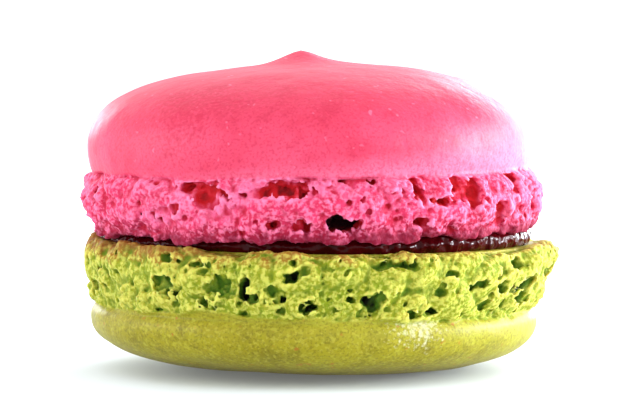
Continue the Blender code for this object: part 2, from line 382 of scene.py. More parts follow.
def band_between(first, second):
    """Triangles between two rings, the second with as many points as the first or half as many."""
    after_second = np.roll(second, -1)
    if len(first) == len(second):
        after_first = np.roll(first, -1)
        pairs = [(first, after_first, after_second), (first, after_second, second)]
    else:
        before, middle, after = first[0::2], first[1::2], np.roll(first[0::2], -1)
        pairs = [(before, middle, second), (middle, after_second, second), (middle, after, after_second)]
    return np.concatenate([np.stack(corners, 1) for corners in pairs])


# The rest of the ring can't be seen from the front. Its holes are spread over these degrees, this far from
# the foot's edges, with these widths, heights as a share of the width, and depths.
HIDDEN_COUNT = 11
HIDDEN_DEGREES = (84, 286)
HIDDEN_MARGIN = 0.9
HIDDEN_WIDTHS = (1.3, 3.0)
HIDDEN_HEIGHTS = (0.5, 0.9)
HIDDEN_DEPTHS = (1.1, 1.8)


def hidden_holes(size):
    """Holes for the rest of the ring, of the same sizes, by a seeded rule."""
    draw = np.random.default_rng(size["seed"] + 100)
    first, last = HIDDEN_DEGREES
    found = []
    for k in range(HIDDEN_COUNT):
        degrees = first + (last - first) / HIDDEN_COUNT * (k + draw.random())
        width = draw.uniform(*HIDDEN_WIDTHS)
        up_side = draw.uniform(HIDDEN_MARGIN, size["foot_height"] - HIDDEN_MARGIN)
        tall = width * draw.uniform(*HIDDEN_HEIGHTS)
        found.append((degrees, up_side, width, tall, draw.uniform(*HIDDEN_DEPTHS)))
    return found


# The grid's lines run in to a slanted core: how far inside the rim it is, at what height it starts, its bend
CORE_INSIDE = 3.2
CORE_START = 1.9
CORE_BEND = 1.25


def shell_grid(size, radius, height, length):
    """The grid that the foam is cut from.

    It gives each row's way along the outline, its point there and its direction inward, each layer's depth,
    and all the points.
    """
    band_end = length[np.argmax(height >= size["foot_height"] + SKIN_SHOWN)]
    rows = int(band_end / GRID)
    along = np.linspace(0.0, band_end, rows)
    outer = np.stack([np.interp(along, length, radius), np.interp(along, length, height)], 1)
    core_radius = size["rim_radius"] - CORE_INSIDE
    core_height = CORE_START + (outer[-1, 1] - CORE_START) * (along / band_end) ** CORE_BEND
    inward = np.stack([np.full(rows, core_radius), core_height], 1) - outer
    inward /= np.linalg.norm(inward, axis=1)[:, None]
    depth = GRID * (np.arange(int((AIR + FOAM_DEPTH) / GRID)) + 0.5) - AIR
    flat = outer[:, None, :] + inward[:, None, :] * depth[None, :, None]
    points = np.empty((AROUND, rows, len(depth), 3), np.float32)
    points[..., 0] = np.sin(TURNS[:-1])[:, None, None] * flat[None, ..., 0]
    points[..., 1] = -np.cos(TURNS[:-1])[:, None, None] * flat[None, ..., 0]
    points[..., 2] = flat[None, ..., 1]
    return {"along": along, "outer": outer, "inward": inward, "depth": depth, "points": points}


# The foam fades out over these heights beside the skin's uneven edge, and over these lengths on the jam's
# side. The edge's noise, as all noise here, has weights and sizes in grid steps.
SKIN_FADE = (-0.15, 0.2)
JAM_SIDE_FADE = (0.4, 0.9)
EDGE_NOISE = ((0.6, 14), (0.4, 45))
# Lumps of two sizes: size, height, and the share of the height that stays below the outline
LUMPS = ((2.6, 0.85, 0.6), (1.3, 0.25, 0.5))
SWELL_HEIGHT = 0.3
SWELL_STEPS = 30
# Where along the outline the lip beside the jam stands, and its half width
LIP_ALONG = 1.6
LIP_WIDTH = 0.55


def foot_surface(draw, size, grid):
    """Where the foam is, from 0 to 1, and how far its surface is sunk below the outline."""
    waver = layered_noise(draw, (AROUND, 1), EDGE_NOISE)
    skin_line = size["foot_height"] + size["edge_waver"] * waver + round_the_shell(size["edge_rise"])
    foam = 1.0 - soft_step(grid["outer"][None, :, 1], skin_line + SKIN_FADE[0], skin_line + SKIN_FADE[1])
    foam *= soft_step(grid["along"], *JAM_SIDE_FADE)[None, :]
    surface = grid["points"][:, :, round(AIR / GRID)] * (1.0, 1.0, size["up"])
    sunk = np.zeros(foam.shape)
    for lump_size, lump_height, below in LUMPS:
        sunk += lump_height * (below - lumps_at(surface, size["seed"], lump_size))
    sunk -= SWELL_HEIGHT * grid_noise(draw, foam.shape, SWELL_STEPS)
    sunk *= foam
    lip_shape = np.exp(-(((grid["along"] - LIP_ALONG) / LIP_WIDTH) ** 2))
    sunk -= round_the_shell(size["lip"]) * lip_shape[None, :]
    return foam, sunk


# Crumbs make the walls of holes uneven. A pore opens where its noise is above PORE_LEVEL, and the two values
# after that keep pores from the depth of the foam and from under the skin.
CRUMB_NOISE = ((0.7, 2.6), (0.6, 5.7))
PORE_NOISE = ((1.0, 3.1), (0.6, 4.9))
PORE_SLOPE = 0.55
PORE_LEVEL = 0.9
PORE_DEPTH_HELD = 0.25
PORE_SKIN_HELD = 2.0
# A large hole is a main bubble that has run together with a few smaller ones round it. Their half sizes are
# shares of the hole's width, height and depth. A hole sinks into the foot, and a deep one sinks further.
MAIN_SHARE = 0.45
MAIN_DEPTH = 0.85
MAIN_ROUGH = 0.28
HOLE_SINK = 0.15
DEEP_HOLE = 1.3
DEEP_HOLE_SINK = 0.4
BESIDE_COUNT = 4
BESIDE_SHARES = (0.22, 0.34)
BESIDE_TALLER = 1.15
BESIDE_DEPTH = 0.6
BESIDE_SINK = 0.8
BESIDE_AWAY = 0.38
BESIDE_ROUGH = 0.4
# Single bubbles: distance from the foot's edges, height and sink as shares of the radius, and roughness
BUBBLE_MARGIN = 0.1
BUBBLE_HEIGHTS = (0.65, 1.0)
BUBBLE_SINKS = (0.1, 0.75)
BUBBLE_ROUGH = 0.3
# Grains of two sizes, in grid steps, and their heights, which change from place to place
GRAINS = ((2.5, 0.26), (6.0, 0.42))
GRAIN_CHANGE = 0.6
GRAIN_CHANGE_STEPS = 16


def cut_foam(draw, size, grid, foam, sunk, holes, bubbles):
    """The foam as a field over the grid, above 0 inside it, with its pores, holes, bubbles and grains."""
    outer, inward, points = grid["outer"], grid["inward"], grid["points"]
    field = (grid["depth"][None, None, :] - sunk[:, :, None]).astype(np.float32)
    crumbs = layered_noise(draw, field.shape, CRUMB_NOISE)
    pores = (
        PORE_SLOPE * (PORE_LEVEL - layered_noise(draw, field.shape, PORE_NOISE))
        + PORE_DEPTH_HELD * np.maximum(field, 0.0)
        + PORE_SKIN_HELD * (1.0 - foam[:, :, None])
    )
    field = np.minimum(field, pores).astype(np.float32)

    def bubble(turn, up_side, half, sink, rough):
        outside = outer[:, 0] > size["rim_radius"] - 2 * RIM_ROUNDING
        row = int(np.argmin(np.where(outside, np.abs(outer[:, 1] - up_side), np.inf)))
        column = int(round(step_at(turn))) % AROUND
        middle = outer[row] + inward[row] * (sunk[column, row] + sink)
        centre = np.array([math.sin(turn) * middle[0], -math.cos(turn) * middle[0], middle[1]])
        carve(field, points, 1.0 - foam, crumbs, centre, turn, half, rough)

    for degrees, up_side, width, tall, deep in [*holes, *hidden_holes(size)]:
        turn = math.radians(degrees)
        sink = HOLE_SINK + DEEP_HOLE_SINK * max(deep - DEEP_HOLE, 0.0)
        half = (width * MAIN_SHARE, tall * MAIN_SHARE, deep * MAIN_DEPTH)
        bubble(turn, up_side, half, sink, MAIN_ROUGH)
        for _ in range(BESIDE_COUNT):
            angle = draw.uniform(0.0, 2 * math.pi)
            share = draw.uniform(*BESIDE_SHARES)
            aside = turn + math.cos(angle) * width * BESIDE_AWAY / size["rim_radius"]
            raised = up_side + math.sin(angle) * tall * BESIDE_AWAY
            half = (width * share, tall * share * BESIDE_TALLER, deep * BESIDE_DEPTH)
            bubble(aside, raised, half, BESIDE_SINK * sink, BESIDE_ROUGH)
    foot_area = 2 * math.pi * size["rim_radius"] * size["foot_height"]
    for smallest, largest, per_square in bubbles:
        for _ in range(int(per_square * foot_area)):
            across = smallest * (largest / smallest) ** draw.random()
            turn = draw.uniform(0.0, 2 * math.pi)
            up_side = draw.uniform(BUBBLE_MARGIN, size["foot_height"] - BUBBLE_MARGIN)
            half = (across, across * draw.uniform(*BUBBLE_HEIGHTS), across)
            bubble(turn, up_side, half, across * draw.uniform(*BUBBLE_SINKS), BUBBLE_ROUGH)

    # Every wall of the foam is made of grains, the walls of its holes too
    for steps, grain_height in GRAINS:
        coarseness = foam * (1.0 + GRAIN_CHANGE * grid_noise(draw, foam.shape, GRAIN_CHANGE_STEPS))
        field += grain_height * coarseness[:, :, None] * (0.5 - grain_gaps(draw, field.shape, steps))

    # The grid's two edges and its innermost layers stay whole, because the rest of the shell joins them, and
    # its outermost layer stays air
    field[:, :, 0] = -GRID
    field[:, [0, 1, -2, -1]] = grid["depth"]
    field[:, :, -2:] = GRID
    close_corner_gaps(field)
    return field


# How solid the foam is within a few grid steps tells a crease from a crest, and within more steps a hollow.
# The material paints shade into creases and hollows, and highlight onto crests, from these.
CREASE_REACH = 2
HOLLOW_REACH = 6
# Over the dome the rings of faces stand further and further apart, up to the widest spacing. Their points
# are halved where they come closer than this share of the spacing.
RING_GROWTH = 1.16
RING_WIDEST = 0.6
RING_HALVED = 0.62


def foam_shell(name, size, place, holes, bubbles):
    """The mesh of one shell: the foam of its foot from a grid, and rings of faces over its dome."""
    draw = np.random.default_rng(size["seed"])
    radius, height, length = shell_outline(size)
    grid = shell_grid(size, radius, height, length)
    foam, sunk = foot_surface(draw, size, grid)
    field = cut_foam(draw, size, grid, foam, sunk, holes, bubbles)
    solid = (field > 0.0).astype(np.float32)
    crease, hollow = box_mean(solid, CREASE_REACH), box_mean(solid, HOLLOW_REACH)
    vertices, faces, number = surface_of(field)
    kept = largest_part(len(vertices), faces)
    renumbered = np.cumsum(kept) - 1
    faces = renumbered[faces[kept[faces].all(axis=1)]]
    vertices = vertices[kept]
    row_at, deep = vertices[:, 1], GRID * (vertices[:, 2] + 0.5) - AIR
    every_row = np.arange(len(grid["along"]))
    column = np.round(vertices[:, 0]).astype(int) % AROUND
    flat = [
        np.interp(row_at, every_row, grid["outer"][:, axis])
        + np.interp(row_at, every_row, grid["inward"][:, axis]) * deep
        for axis in (0, 1)
    ]
    marks = {
        "turn": [turn_at(vertices[:, 0])],
        "radius": [flat[0]],
        "height": [flat[1]],
        "foam": [foam[column, np.round(row_at).astype(int).clip(0, len(every_row) - 1)]],
        "deep": [np.maximum(read_grid(grid["depth"] - sunk[:, :, None], vertices), 0.0)],
        "crease": [read_grid(crease, vertices)],
        "hollow": [read_grid(hollow, vertices)],
        "along": [np.interp(row_at, every_row, grid["along"])],
    }
    count = len(vertices)

    def add_ring(points_in_ring, ring_radius, ring_height, ring_along):
        nonlocal count
        steps = 0.5 + np.arange(points_in_ring) * AROUND / points_in_ring
        marks["turn"].append(turn_at(steps))
        values = {"radius": ring_radius, "height": ring_height, "along": ring_along}
        values.update({"foam": 0.0, "deep": 0.0, "crease": 0.5, "hollow": 0.5})
        for key, value in values.items():
            marks[key].append(np.full(points_in_ring, value))
        count += points_in_ring
        return np.arange(count - points_in_ring, count)

    def close_over(ring, path_length, path_radius, path_height, start, sense):
        """Rings along a path, further and further apart, and a point at its end."""
        spacing = GRID
        at = start + spacing
        new_faces = []
        while at < path_length[-1] - 0.5 * spacing:
            ring_radius = np.interp(at, path_length, path_radius)
            points_in_ring = len(ring)
            if 2 * math.pi * ring_radius / points_in_ring < RING_HALVED * spacing and points_in_ring % 2 == 0:
                points_in_ring //= 2
            ring_height = np.interp(at, path_length, path_height)
            next_ring = add_ring(points_in_ring, ring_radius, ring_height, at * sense)
            new_faces.append(band_between(ring, next_ring)[:, ::sense])
            ring = next_ring
            spacing = min(spacing * RING_GROWTH, RING_WIDEST)
            at += spacing
        pole = add_ring(1, 0.0, path_height[-1], path_length[-1] * sense)
        fan = np.stack([ring, np.roll(ring, -1), np.repeat(pole, len(ring))], 1)
        new_faces.append(fan[:, ::sense])
        return np.concatenate(new_faces)

    ring_first = renumbered[number[:, 0].max(axis=1)]
    ring_last = renumbered[number[:, -1].max(axis=1)]
    face_length = np.array([0.0, radius[0]])
    dome = close_over(ring_last, length, radius, height, grid["along"][-1], 1)
    jam_side = close_over(ring_first, face_length, face_length[::-1], np.zeros(2), 0.0, -1)
    marks = {key: np.concatenate(values) for key, values in marks.items()}
    triangles = np.concatenate([dome, jam_side])
    if size["up"] < 0:
        faces, triangles = faces[:, ::-1], triangles[:, ::-1]
    piece = make_piece(name, settled_points(size, place, marks), faces.tolist() + triangles.tolist(), marks)
    lay_map(piece.data, marks["turn"], marks["along"])
    return piece


# How far the shell is out of round, its shallow dents and its fine wrinkles, each as a depth and a size
OUT_OF_ROUND = (0.22, 20.0)
DENTS = (0.16, 9.0)
WRINKLES = (0.07, 3.0)
# The soft peak of the piped batter
PEAK_RADIUS = 2.7
PEAK_SOFTNESS = 1.5


def settled_points(size, place, marks):
    """The shell's points with its slow dents, off-centre rim and crown, and peak, where it lies."""
    turn, radius, height = marks["turn"], marks["radius"], marks["height"]
    outward = np.stack([np.sin(turn), -np.cos(turn), np.zeros_like(turn)], 1)
    side_top = size["foot_height"] + size["side_height"]
    rise = np.clip((height - side_top) / size["crown_height"], 0.0, 1.0)
    sine = rise ** (size["roundness"] / 2)
    points = outward * radius[:, None]
    away = np.hypot(points[:, 0] - size["peak_shift"], points[:, 1])
    peak = size["peak_height"] * np.exp(-((away / PEAK_RADIUS) ** PEAK_SOFTNESS)) * (rise > 0.0)
    points[:, 2] = size["up"] * (height + peak)
    seed = Vector((size["seed"], 0.0, 0.0))
    grown = np.empty(len(points))
    for row, (x, y, z) in enumerate(points):
        slow = OUT_OF_ROUND[0] * noise.noise(Vector((x, y, 0.0)) / OUT_OF_ROUND[1] + seed)
        dent = DENTS[0] * noise.noise(Vector((x, y, z)) / DENTS[1] - seed)
        wrinkle = WRINKLES[0] * noise.noise(Vector((x, y, z)) / WRINKLES[1] + seed)
        grown[row] = slow + dent + wrinkle
    points += outward * (np.sqrt(1.0 - sine**2) * grown)[:, None]
    points[:, 2] += size["up"] * sine * grown
    pole_shift = size["pole_shift"] * (1.0 - radius / size["dome_radius"])
    rim_shift = size["rim_shift"] * np.clip(1.0 - height / size["foot_height"], 0.0, 1.0)
    points[:, 0] += np.where(rise > 0.0, pole_shift, rim_shift)
    points = points @ np.array(place.to_3x3()).T + np.array(place.translation)
    points[:, 2] = np.maximum(points[:, 2], 0.0)
    return points * MM


def make_piece(name, points, faces, marks):
    """A smooth piece, with the marks on its points that its material reads."""
    mesh = bpy.data.meshes.new(name)
    mesh.from_pydata(points.tolist(), [], faces)
    mesh.shade_smooth()
    for key in ("foam", "deep", "crease", "hollow", "height"):
        if key in marks:
            mark = mesh.attributes.new(key, "FLOAT", "POINT")
            mark.data.foreach_set("value", marks[key].astype(np.float32))
    piece = bpy.data.objects.new(name, mesh)
    bpy.context.scene.collection.objects.link(piece)
    return piece


# A face over the map's seam runs past its end, which this leaves room for
SEAM_ROOM = 1.01


def lay_map(mesh, turn, along):
    """The map that the finish is kept on: once round the piece, by the way along its outline."""
    corners = np.empty(len(mesh.loops), np.int32)
    mesh.loops.foreach_get("vertex_index", corners)
    starts = np.empty(len(mesh.polygons), np.int32)
    mesh.polygons.foreach_get("loop_start", starts)
    across = (turn[corners] / (2 * math.pi)) % 1.0
    face = np.repeat(np.arange(len(starts)), np.diff(np.append(starts, len(corners))))
    widest = np.maximum.reduceat(across, starts)
    over_seam = (widest[face] > 0.75) & (across < 0.25)
    across = np.where(over_seam, across + 1.0, across) / SEAM_ROOM
    upward = (along[corners] - along.min()) / np.ptp(along)
    layer = mesh.uv_layers.new(name="OFBake")
    layer.data.foreach_set("uv", np.stack([across, upward], 1).astype(np.float32).ravel())


def linear(hex_colour):
    """An sRGB colour such as #FFCC00 as linear red, green, blue and 1."""
    shares = [int(hex_colour[at : at + 2], 16) / 255 for at in (1, 3, 5)]
    return (*(s / 12.92 if s <= 0.04045 else ((s + 0.055) / 1.055) ** 2.4 for s in shares), 1.0)


def add_node(tree, kind, inputs=None, **settings):
    """Adds a node; an input is given by its name or number, as a value or as the socket that feeds it."""
    node = tree.nodes.new(kind)
    for key, value in settings.items():
        setattr(node, key, value)
    for key, value in (inputs or {}).items():
        if isinstance(value, bpy.types.NodeSocket):
            tree.links.new(value, node.inputs[key])
        else:
            node.inputs[key].default_value = value
    return node


def painted(tree, colour, layers):
    """Lays colours over a first one. Each layer is seen where its value goes from a start to an end."""
    for value, start, end, most, over in layers:
        reach = {"Value": value, "From Min": start, "From Max": end, "To Max": most}
        share = add_node(tree, "ShaderNodeMapRange", reach).outputs["Result"]
        both = {"Factor": share, 6: colour, 7: over}
        colour = add_node(tree, "ShaderNodeMix", both, data_type="RGBA").outputs[2]
    return colour


# Patterns of colour and bump, with their sizes in millimetres and their detail. Ground almond is 0.3 to 0.4
# mm across. The specks of almond skin are about 0.1 mm, and are drawn twice as coarse, so that they show.
MERINGUE_PATTERNS = (
    ("cloud", 5.0, 3.0),
    ("patch", 2.2, 2.0),
    ("ragged", 1.3, 4.0),
    ("spot", 0.8, 1.0),
    ("lump", 1.5, 3.0),
    ("grain", 0.35, 2.0),
    ("speck", 0.22, 1.0),
)
# A paler band of skin lies above the foot, partly its own tone and partly painted light from the bright lamps
# on the right, so it reaches this much higher for each millimetre towards +X
BAND_SLANT = 0.09
# How ragged the stain's edge is, and the edge of the patch that is a rubbed place on the pink shell and a
# painted sheen on the green one, in millimetres
STAIN_RAGGED = 3.0
RUB_AND_SHEEN_RAGGED = 9.0
SKIN_ROUGHNESS = 0.46
FOAM_ROUGHNESS = 0.75
# The grain stands up a little through the skin and fully on the foam
GRAIN_HEIGHT = 0.14
SKIN_GRAIN = 0.16
FOAM_GRAIN = 1.0
LUMP_BUMP_HEIGHT = 0.28
LUMP_BUMP = 0.4


def meringue(name, colours, foot_height, stain, rub_and_sheen):
    """Baked almond meringue: ground almonds and egg white foam, dried to a thin skin over a soft crumb.

    Its skin is fine-grained and satin, so highlights are wide and soft, and light runs a little way under
    it. The foot's dried foam is rougher. Its colour is darkened with painted shade in its creases, hollows
    and holes, and lightened with painted highlight on its crests and grains and in soft sheen patches. stain
    is how high the jam has stained the foot, and how much less high for each millimetre towards +X. The
    last argument is the middle and the radius of a patch where the skin's grain shows in another colour: a
    rubbed place on the pink shell, and whitish flecks of painted sheen on the green one.
    """
    stain_reach, stain_slant = stain
    rub_and_sheen_place, rub_and_sheen_radius = rub_and_sheen
    material = bpy.data.materials.new(name)
    material.use_nodes = True
    tree = material.node_tree
    surface = tree.nodes["Principled BSDF"]
    places = add_node(tree, "ShaderNodeTexCoord").outputs["Object"]
    mark = {
        key: add_node(tree, "ShaderNodeAttribute", attribute_name=key).outputs["Fac"]
        for key in ("foam", "deep", "crease", "hollow", "height")
    }
    pattern = {}
    for key, pattern_size, detail in MERINGUE_PATTERNS:
        inputs = {"Vector": places, "Scale": 1 / (pattern_size * MM), "Detail": detail}
        pattern[key] = add_node(tree, "ShaderNodeTexNoise", inputs).outputs["Fac"]
    colour = {key: linear(value) for key, value in colours.items()}
    across = add_node(tree, "ShaderNodeSeparateXYZ", {"Vector": places}).outputs["X"]
    slanted = add_node(
        tree, "ShaderNodeMath", {0: across, 1: stain_slant / MM, 2: mark["height"]}, operation="MULTIPLY_ADD"
    ).outputs[0]
    band = add_node(
        tree, "ShaderNodeMath", {0: across, 1: -BAND_SLANT / MM, 2: mark["height"]}, operation="MULTIPLY_ADD"
    ).outputs[0]
    # Noise lies round 0.5, so it takes about half its raggedness off the height or distance that it frays
    edge = add_node(
        tree, "ShaderNodeMath", {0: pattern["ragged"], 1: -STAIN_RAGGED, 2: slanted}, operation="MULTIPLY_ADD"
    ).outputs[0]
    away = add_node(
        tree, "ShaderNodeVectorMath", {0: places, 1: Vector(rub_and_sheen_place) * MM}, operation="DISTANCE"
    ).outputs["Value"]
    away = add_node(tree, "ShaderNodeMath", {0: away, 1: MM}, operation="DIVIDE").outputs[0]
    rubbed = add_node(
        tree, "ShaderNodeMath", {0: pattern["grain"], 1: -RUB_AND_SHEEN_RAGGED, 2: away}, operation="MULTIPLY_ADD"
    ).outputs[0]
    skin = painted(
        tree,
        colour["skin"],
        (
            (pattern["cloud"], 0.38, 0.62, 1.0, colour["skin_light"]),
            (mark["height"], foot_height + 3.6, foot_height + 6.2, 1.0, colour["crown"]),
            (pattern["patch"], 0.5, 0.66, 0.4, colour["skin_dark"]),
            # A paler band above the foot: partly its own tone, partly painted light that grows towards +X
            (band, foot_height + 1.7, foot_height - 0.2, 0.75, colour["skin_edge"]),
            (pattern["grain"], 0.5, 0.36, 0.45, colour["skin_grain"]),
            # On the pink shell a rubbed place; on the green shell a painted sheen of whitish flecks
            (rubbed, rub_and_sheen_radius - 4.4, rub_and_sheen_radius - 6.6, 0.6, colour["rubbed"]),
            (pattern["speck"], 0.5, 0.66, 0.42, colour["skin_dark"]),
            (pattern["spot"], 0.72, 0.77, 0.5, colour["spot"]),
        ),
    )
    crumb = painted(
        tree,
        colour["foam"],
        (
            (pattern["patch"], 0.42, 0.62, 0.8, colour["foam_dark"]),
            # Soft pale patches: painted sheen that stands in for highlights on the lumps
            (pattern["cloud"], 0.53, 0.66, 0.6, colour["foam_pale"]),
            (pattern["speck"], 0.54, 0.66, 0.5, colour["crease"]),
            (edge, stain_reach - 1.4, stain_reach - 2.2, 0.9, colour["stain"]),
            # Lighter grains and crests: painted highlight where the foam's tops catch the light
            (pattern["grain"], 0.44, 0.6, 0.75, colour["foam_light"]),
            (mark["crease"], 0.42, 0.28, 1.0, colour["foam_light"]),
            # Darker hollows and creases: painted shade
            (mark["hollow"], 0.5, 0.62, 0.6, colour["crease"]),
            (mark["crease"], 0.5, 0.66, 1.0, colour["crease"]),
            (edge, stain_reach - 2.4, stain_reach - 3.1, 0.85, colour["stain_dark"]),
            # Holes turn a deep colour, and nearly black at their bottoms: painted shade
            (mark["hollow"], 0.6, 0.78, 0.92, colour["inside"]),
            (mark["deep"], 0.45, 1.0, 0.94, colour["inside"]),
            (mark["deep"], 1.25, 1.8, 1.0, colour["core"]),
        ),
    )
    whole = painted(tree, skin, ((mark["foam"], 0.0, 1.0, 1.0, crumb),))
    tree.links.new(whole, surface.inputs["Base Color"])
    roughness = {"Value": mark["foam"], "To Min": SKIN_ROUGHNESS, "To Max": FOAM_ROUGHNESS}
    rough = add_node(tree, "ShaderNodeMapRange", roughness)
    tree.links.new(rough.outputs["Result"], surface.inputs["Roughness"])
    strength = {"Value": mark["foam"], "To Min": SKIN_GRAIN, "To Max": FOAM_GRAIN}
    steep = add_node(tree, "ShaderNodeMapRange", strength).outputs["Result"]
    grains = {"Height": pattern["grain"], "Strength": steep, "Distance": GRAIN_HEIGHT * MM}
    normal = add_node(tree, "ShaderNodeBump", grains).outputs["Normal"]
    lumps = {"Height": pattern["lump"], "Strength": LUMP_BUMP, "Distance": LUMP_BUMP_HEIGHT * MM}
    lumps["Normal"] = normal
    normal = add_node(tree, "ShaderNodeBump", lumps).outputs["Normal"]
    tree.links.new(normal, surface.inputs["Normal"])
    # Dried sugar and egg white bend light as plastics do, but their dusty surface mirrors less of it. The
    # light that goes in comes out up to a millimetre away, the red furthest.
    surface.inputs["IOR"].default_value = 1.45
    surface.inputs["Specular IOR Level"].default_value = 0.28
    surface.inputs["Subsurface Weight"].default_value = 0.4
    surface.inputs["Subsurface Radius"].default_value = (1.0, 0.4, 0.4)
    surface.inputs["Subsurface Scale"].default_value = 0.8 * MM
    return material


green_shell = foam_shell("green_shell", GREEN, GREEN_PLACE, GREEN_HOLES, GREEN_BUBBLES)
# Among these colours, those for the foam's crests, grains, pale patches, creases, hollows and holes are
# painted highlight and shade, the pale skin band is partly painted light, and the rubbed colour is a painted
# sheen
GREEN_COLOURS = {
    "skin": "#928808",
    "skin_light": "#9E9513",
    "crown": "#76600A",
    "skin_edge": "#A6A22C",
    "skin_dark": "#5E5204",
    "skin_grain": "#BAB23A",
    "spot": "#B0561A",
    "rubbed": "#ECE8C0",
    "foam": "#93981A",
    "foam_dark": "#7E8E0C",
    "foam_light": "#D0CE5C",
    "foam_pale": "#BEB446",
    "crease": "#6C7E0C",
    "inside": "#44680A",
    "core": "#0E1400",
    "stain": "#94681A",
    "stain_dark": "#845018",
}
# How far the jam has stained the foot, and a patch of whitish flecks on the skin: a painted sheen that
# stands in for a highlight
GREEN_STAIN = (0.85, 0.035)
GREEN_SHEEN = ((8.6, -18.1, 6.1), 2.3)
green_shell.data.materials.append(
    meringue("pistachio_meringue", GREEN_COLOURS, GREEN["foot_height"], GREEN_STAIN, GREEN_SHEEN)
)
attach(green_shell, "root")
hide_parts("lower_shell")

# The pink shell: the same meringue coloured with raspberry, taller, set on the jam crown up, with the soft
# peak that the piping nozzle left.
PINK = {
    "up": 1,
    "rim_radius": 19.3,
    "rim_shift": 0.15,
    "bulge": 1.1,
    "bulge_skew": 1.3,
    "foot_height": 5.2,
    "skin_edge_radius": 19.4,
    "dome_radius": 19.7,
    "side_height": 2.1,
    "crown_height": 7.2,
    "pole_shift": 0.0,
    "roundness": 2.5,
    "peak_height": 1.35,
    "peak_shift": -0.6,
    "seed": 5,
    "edge_waver": 0.25,
    "lip": (
        (-180, 0.1),
        (-60, 0.15),
        (-30, 0.2),
        (0, 0.2),
        (6, 0.45),
        (22, 0.5),
        (29, 0.2),
        (35, 0.0),
        (90, 0.0),
    ),
    "edge_rise": ((-180, 0.0), (180, 0.0)),
}
PINK_PLACE = Matrix.Translation((-0.7, 0.0, 12.35)) @ Matrix.Rotation(math.radians(-0.6), 4, "Y")
PINK_HOLES = (
    (-26, 3.95, 2.3, 2.7, 1.2),
    (-31, 4.5, 1.1, 1.0, 1.2),
    (-34, 2.8, 1.0, 0.9, 1.0),
    (-21.6, 4.1, 1.2, 0.6, 1.0),
    (-18.8, 3.6, 0.9, 0.7, 0.8),
    (-11.2, 4.0, 2.0, 0.9, 1.1),
    (-6.5, 4.4, 2.0, 1.4, 1.2),
    (-2, 4.1, 2.4, 1.2, 1.25),
    (-9.2, 1.35, 1.1, 0.8, 1.3),
    (-1.7, 1.2, 1.6, 1.0, 1.2),
    (7.9, 1.05, 2.4, 1.3, 3.4),
    (6.4, 1.0, 1.5, 1.1, 3.4),
    (5.2, 5.1, 0.4, 0.4, 0.6),
    (8.2, 5.0, 0.5, 0.4, 0.6),
    (15, 4.7, 0.6, 0.5, 0.9),
    (26.4, 4.3, 1.7, 2.0, 1.2),
    (33.5, 3.1, 2.3, 0.8, 1.2),
    (39, 4.2, 2.6, 1.8, 1.3),
    (44, 3.9, 1.8, 2.2, 1.4),
    (54, 1.6, 2.2, 1.6, 1.4),
    (62, 4.6, 2.4, 1.5, 1.3),
    (27.8, 1.5, 1.0, 0.6, 1.0),
    (-66, 3.7, 2.0, 1.9, 1.3),
)
PINK_BUBBLES = ((0.3, 0.5, 0.01), (0.16, 0.3, 0.25))
# Among these colours, those for the foam's crests, grains, pale patches, creases, hollows and holes are
# painted highlight and shade, and the pale skin band is partly painted light
PINK_COLOURS = {
    "skin": "#D83F5F",
    "skin_light": "#DF4B6C",
    "crown": "#CE3455",
    "skin_edge": "#EE769A",
    "skin_dark": "#BC1C40",
    "skin_grain": "#DA4065",
    "spot": "#EC7896",
    "rubbed": "#C22246",
    "foam": "#D43260",
    "foam_dark": "#C8264A",
    "foam_light": "#F67CA4",
    "foam_pale": "#EC7CAA",
    "crease": "#BE1C40",
    "inside": "#BA0816",
    "core": "#240004",
    "stain": "#9C0A34",
    "stain_dark": "#80062C",
}
PINK_STAIN = (1.8, -0.01)
PINK_RUB = ((-10.5, -14.0, 22.0), 3.6)
pink_shell = foam_shell("pink_shell", PINK, PINK_PLACE, PINK_HOLES, PINK_BUBBLES)
pink_shell.data.materials.append(
    meringue("raspberry_meringue", PINK_COLOURS, PINK["foot_height"], PINK_STAIN, PINK_RUB)
)
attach(pink_shell, "root")
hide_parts("upper_shell")

# The jam: boiled raspberry jam, a thin and very dark layer. It was spread on the green shell and pressed out
# to an uneven wet edge by the pink one, and it sticks to both.
JAM_RADIUS = 17.95
JAM_SHIFT = -0.3
JAM_ROWS = 13
# Its faces reach this far into the shells
JAM_SUNK = 0.12
# Its edge bows out between them, and left and right it is pressed out further
JAM_BOW = 0.45
JAM_BOW_FULLNESS = 0.6
JAM_SIDEWAYS = 0.75
# Its edge wanders in and out all round, and where it bows it has lumps of two heights and sizes
JAM_WANDER = 0.35
JAM_WANDERS = 3.0
JAM_LUMPS = ((0.28, 1.6), (0.1, 0.6))
JAM_EDGE = 19.0


